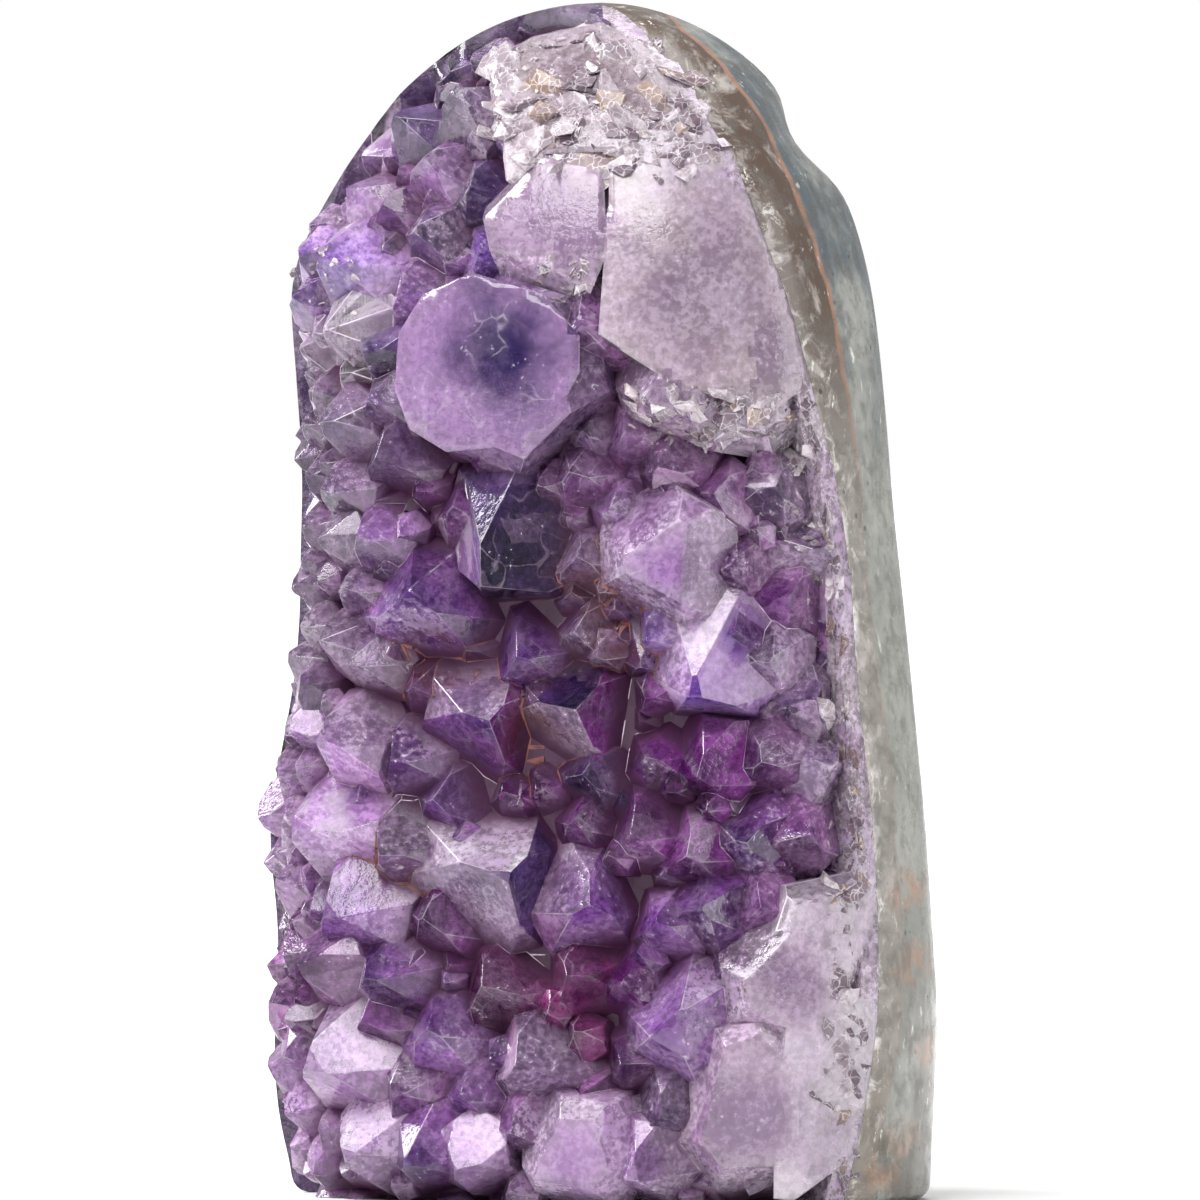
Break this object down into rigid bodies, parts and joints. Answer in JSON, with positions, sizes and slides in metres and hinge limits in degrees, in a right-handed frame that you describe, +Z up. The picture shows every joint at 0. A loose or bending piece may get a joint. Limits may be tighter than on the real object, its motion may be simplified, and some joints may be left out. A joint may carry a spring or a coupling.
{
  "type": "amethyst geode",
  "caption": "Upright half geode on a flat cut base: purple amethyst crystals on the front, a smooth polished grey agate rind round the back.",
  "frame": {"origin": "middle of the bounding box, on the plane of the cut base", "axes": "+Z up through the stone's rounded top, -Y out of the crystal side, +X to the right of a viewer who faces the crystals"},
  "size_m": [0.0757, 0.0499, 0.13],
  "materials": {
    "agate": "ground and polished grey agate and basalt, mottled",
    "amethyst": "natural quartz crystal faces, see-through violet with pale rims"
  },
  "bodies": {
    "root": {"agate_rind": "agate", "amethyst_druse": "amethyst"}
  },
  "joints": []
}
